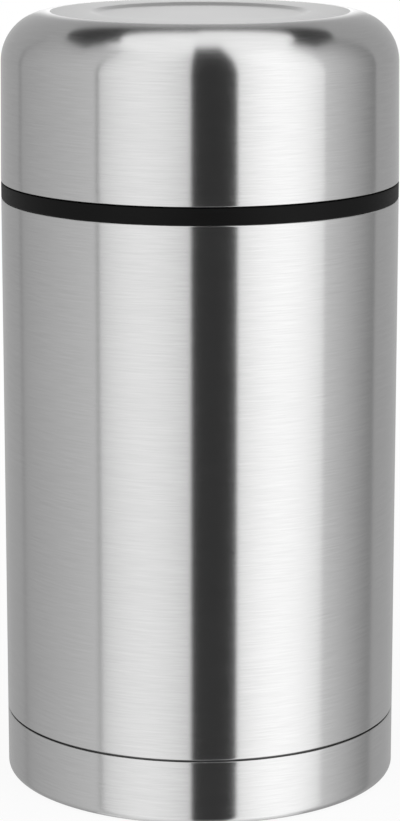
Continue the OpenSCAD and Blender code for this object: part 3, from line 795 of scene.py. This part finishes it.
class FOODJAR_OT_inside(bpy.types.Operator):
    """Give the sealed inner pieces, which keep the construction's own shape, their materials"""
    bl_idname = "food_jar.inside"
    bl_label = "Sealed inner pieces"

    def execute(self, context):
        rolled = moulded("Stainless_as_rolled", linear("#A3A3A1"), (0.34, 0.46), 0.8 * MM, 0.003 * MM,
                         ior=1.5, variation=0.05, Metallic=1.0)
        foil = moulded("Aluminium_foil_bright", linear("#DEDFE0"), (0.12, 0.24), 2 * MM, 0.03 * MM, ior=1.5,
                       variation=0.03, Metallic=1.0)
        glass = moulded("Solder_glass_fused", linear("#5F6468"), (0.05, 0.15), 1 * MM, 0.004 * MM, ior=1.52)
        powder = moulded("Getter_powder_pressed", linear("#5A5A5C"), (0.7, 0.85), 0.2 * MM, 0.02 * MM)
        foam = moulded("Polystyrene_foam", linear("#E8E6DE"), (0.75, 0.9), 2.4 * MM, 0.08 * MM, ior=1.45,
                       variation=0.05)
        for node, material in (("vacuum_base", rolled), ("getter_holder", rolled), ("radiation_foil", foil),
                               ("seal_bead", glass), ("getter_pellet", powder), ("stopper_foam", foam)):
            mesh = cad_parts[node].data
            mesh.materials.clear()
            mesh.materials.append(material)
        return {"FINISHED"}


# ---- Studio ----

# The light tent. Azimuth runs from the camera's side towards the jar's right and elevation up from level,
# both in degrees and seen from the jar. Side edges stand upright, at one azimuth each.
FLOOR_EDGE = -60
ZENITH = 89.9
FAR_LEFT_SEAM = -125
LEFT_SEAM = -60
FRONT_LEFT = -5
FRONT_RIGHT = 21
RIGHT_SEAM = 75
FAR_RIGHT_SEAM = 120
ROOF_EDGE = 55                 # elevation at which the walls end and the roof starts
PANEL_STEPS = 48               # steps across a panel, and up it
SHADOW_REACH = (0.1, 0.6)      # distances from the jar between which its shadow fades out, in metres
NEAR_WHITE = 0.9               # share of plain white in the floor by the jar; the rest is lit paper
WORLD_LEVEL = 0.8              # the world's light where neither the camera nor a mirror image sees it

# How strong a panel's light is: at its left edge, at its right edge, and the share that it gains in its
# middle.
SOFTBOX_SWELL = 0.35           # a softbox is brightest in its middle, where its lamp is
WALL = 0.5                     # a wall away from the softboxes, at both edges
ROOF = (1.4, 1.4, 0)
DARK = (0.04, 0.04, 0)
JOIN = (0.4, 0.4, 0)

# Panels from the floor to the roof: name, left edge, right edge and light. A softbox lights the wall beside
# it, so that wall fades away from the softbox.
WALLS = (
    ("far_left_wall", -180, FAR_LEFT_SEAM, (WALL, WALL, 0)),
    ("left_wall", FAR_LEFT_SEAM, LEFT_SEAM, (WALL, 0.8, 0)),
    ("left_softbox", LEFT_SEAM, FRONT_LEFT, (0.95, 0.95, SOFTBOX_SWELL)),
    ("right_softbox", FRONT_RIGHT, RIGHT_SEAM, (1.2, 1.2, SOFTBOX_SWELL)),
    ("right_wall", RIGHT_SEAM, FAR_RIGHT_SEAM, (0.9, 0.3, 0)),
    ("far_right_wall", FAR_RIGHT_SEAM, 180, (WALL, WALL, 0)),
)

# Cards that hang a little nearer than the panels: name, left, right, lower and upper edge, and light. The
# dark front flag hangs on the camera's side and the dark side flags high behind the jar. The joins are the
# tent's seams, and the rear card lights the cup's flat top.
CARD_REACH = 0.97
CARDS = (
    ("front_flag", FRONT_LEFT, FRONT_RIGHT, FLOOR_EDGE, 69, DARK),
    ("left_flag", -180, -90, 45, 65, DARK),
    ("right_flag", 90, 180, 45, 60, DARK),
    ("far_left_join", FAR_LEFT_SEAM - 2, FAR_LEFT_SEAM + 2, FLOOR_EDGE, 34, JOIN),
    ("left_join", LEFT_SEAM - 1, LEFT_SEAM + 1, FLOOR_EDGE, 48, JOIN),
    ("rear_card", 173, 187, 0, 18, (0.5, 0.5, 2)),
)


def soft_light():
    """Emission whose strength is the panel's own level at each point."""
    material, tree = blank("Studio_diffuser")
    level = add(tree, "ShaderNodeAttribute", attribute_name="level")
    glow = add(tree, "ShaderNodeEmission", {"Strength": level.outputs["Fac"]})
    add(tree, "ShaderNodeOutputMaterial", {"Surface": glow.outputs["Emission"]})
    return material


def panel(name, left, right, low, high, light, material, reach_share=1.0):
    """Curved light panel on the tent's sphere: at azimuth a and elevation e it stands R (sin a cos e, -cos
    a cos e, sin e) from the middle of the jar. Both angles run evenly from edge to edge. The light is the
    same all the way up. Across, it runs evenly from the left edge's to the right edge's, times 1 plus swell
    times a parabola that is 0 at the edges and 1 in the middle."""
    radius = bpy.context.scene.food_jar_studio.tent_radius * reach_share
    middle = (CAD_BOX[0] + CAD_BOX[1]) / 2
    at_left, at_right, swell = light
    share = np.linspace(0, 1, PANEL_STEPS + 1)
    a, e = np.meshgrid(np.radians(left + (right - left) * share), np.radians(low + (high - low) * share))
    points = np.stack([np.sin(a) * np.cos(e), -np.cos(a) * np.cos(e), np.sin(e)], axis=-1) * radius
    sheet = surface("panel_" + name, points + np.array(middle), False, False, share, share)
    level = (at_left + (at_right - at_left) * share) * (1 + swell * 4 * share * (1 - share))
    store = sheet.data.attributes.new("level", "FLOAT", "POINT")
    store.data.foreach_set("value", np.tile(level, PANEL_STEPS + 1).astype(np.float32))
    sheet.data.materials.append(material)
    sheet.visible_camera = False
    return sheet


class FOODJAR_OT_studio(bpy.types.Operator):
    """Make the floor, the light tent, the world and the camera"""
    bl_idname = "food_jar.studio"
    bl_label = "Studio"

    def execute(self, context):
        self.tent()
        self.floor(context)
        self.world(context)
        self.camera(context)
        context.scene.view_settings.view_transform = "Standard"
        return {"FINISHED"}

    def tent(self):
        light = soft_light()
        for name, left, right, level in WALLS:
            panel(name, left, right, FLOOR_EDGE, ROOF_EDGE, level, light)
        panel("roof", -180, 180, ROOF_EDGE, ZENITH, ROOF, light)
        for name, left, right, low, high, level in CARDS:
            panel(name, left, right, low, high, level, light, CARD_REACH)

    def floor(self, context):
        """A round floor, white to the camera but for the jar's soft shadow, which fades out with
        distance."""
        radius = context.scene.food_jar_studio.floor_radius
        outline = np.stack([np.linspace(radius, 0, 9), np.zeros(9)], axis=1)
        floor = turned("studio_floor", outline, closed=False, columns=64)
        material, tree = blank("Studio_floor_paper")
        place = add(tree, "ShaderNodeTexCoord")
        far = add(tree, "ShaderNodeVectorMath", {0: place.outputs["Object"]}, operation="LENGTH")
        white = add(tree, "ShaderNodeMapRange",
                    {"Value": far.outputs["Value"], "From Min": SHADOW_REACH[0], "From Max": SHADOW_REACH[1],
                     "To Min": NEAR_WHITE, "To Max": 1.0}, interpolation_type="SMOOTHSTEP")
        path = add(tree, "ShaderNodeLightPath")
        seen = add(tree, "ShaderNodeMath", {0: path.outputs["Is Camera Ray"], 1: white.outputs["Result"]},
                   operation="MULTIPLY")
        paper = add(tree, "ShaderNodeBsdfDiffuse", {"Color": context.scene.food_jar_colours.floor})
        glow = add(tree, "ShaderNodeEmission", {"Strength": 1.0})
        mixed = add(tree, "ShaderNodeMixShader", {0: seen.outputs["Value"], 1: paper.outputs["BSDF"],
                                                  2: glow.outputs["Emission"]})
        add(tree, "ShaderNodeOutputMaterial", {"Surface": mixed.outputs["Shader"]})
        floor.data.materials.append(material)
        floor.visible_glossy = False
        floor.visible_diffuse = False
        floor.visible_shadow = False

    def world(self, context):
        """White where the camera or a mirror image sees it, and a plain level for everything else."""
        world = bpy.data.worlds.new("Studio_world")
        context.scene.world = world
        world.use_nodes = True
        tree = world.node_tree
        tree.nodes.clear()
        path = add(tree, "ShaderNodeLightPath")
        seen = add(tree, "ShaderNodeMath",
                   {0: path.outputs["Is Camera Ray"], 1: path.outputs["Is Glossy Ray"]}, operation="MAXIMUM")
        both = add(tree, "ShaderNodeMath",
                   {0: seen.outputs["Value"], 1: path.outputs["Is Transmission Ray"]}, operation="MAXIMUM")
        level = add(tree, "ShaderNodeMapRange",
                    {"Value": both.outputs["Value"], "To Min": WORLD_LEVEL, "To Max": 1.0})
        sky = add(tree, "ShaderNodeBackground", {"Strength": level.outputs["Result"]})
        sky.inputs["Color"].default_value = (1, 1, 1, 1)
        add(tree, "ShaderNodeOutputWorld", {"Surface": sky.outputs["Background"]})

    def camera(self, context):
        studio = context.scene.food_jar_studio
        data = bpy.data.cameras.new("Studio_camera")
        data.lens = studio.lens
        data.sensor_width = 36
        data.clip_end = 4 * studio.floor_radius
        camera = bpy.data.objects.new("Studio_camera", data)
        context.scene.collection.objects.link(camera)
        place = Matrix.Translation((0, -studio.camera_distance, studio.camera_height))
        tilt = Matrix.Rotation(math.pi / 2 - studio.camera_pitch, 4, "X")
        camera.matrix_world = place @ tilt
        context.scene.camera = camera


# ---- Add-on ----

OPERATORS = (FOODJAR_OT_body, FOODJAR_OT_vessel, FOODJAR_OT_collar, FOODJAR_OT_cup, FOODJAR_OT_stopper,
             FOODJAR_OT_vent, FOODJAR_OT_inside, FOODJAR_OT_studio)


class FOODJAR_PT_panel(bpy.types.Panel):
    """Lists the sizes, the colours and the operators"""
    bl_idname = "FOODJAR_PT_panel"
    bl_label = "Food Jar"
    bl_space_type = "VIEW_3D"
    bl_region_type = "UI"
    bl_category = "Food Jar"

    def draw(self, context):
        scene = context.scene
        for group in (scene.food_jar_sizes, scene.food_jar_colours, scene.food_jar_studio):
            column = self.layout.column(align=True)
            for name in group.__annotations__:
                column.prop(group, name)
        for operator in OPERATORS:
            self.layout.operator(operator.bl_idname)


GROUPS = {"food_jar_sizes": FoodJarSizes, "food_jar_colours": FoodJarColours,
          "food_jar_studio": FoodJarStudio}


def register():
    for item in (*GROUPS.values(), *OPERATORS, FOODJAR_PT_panel):
        bpy.utils.register_class(item)
    for name, group in GROUPS.items():
        setattr(bpy.types.Scene, name, bpy.props.PointerProperty(type=group))


def unregister():
    for name in GROUPS:
        delattr(bpy.types.Scene, name)
    for item in reversed((*GROUPS.values(), *OPERATORS, FOODJAR_PT_panel)):
        bpy.utils.unregister_class(item)


def main():
    """Builds the jar and the studio."""
    register()
    for operator in OPERATORS:
        getattr(bpy.ops.food_jar, operator.bl_idname.split(".")[1])()
    bpy.context.view_layer.update()


if __name__ == "__main__":
    main()
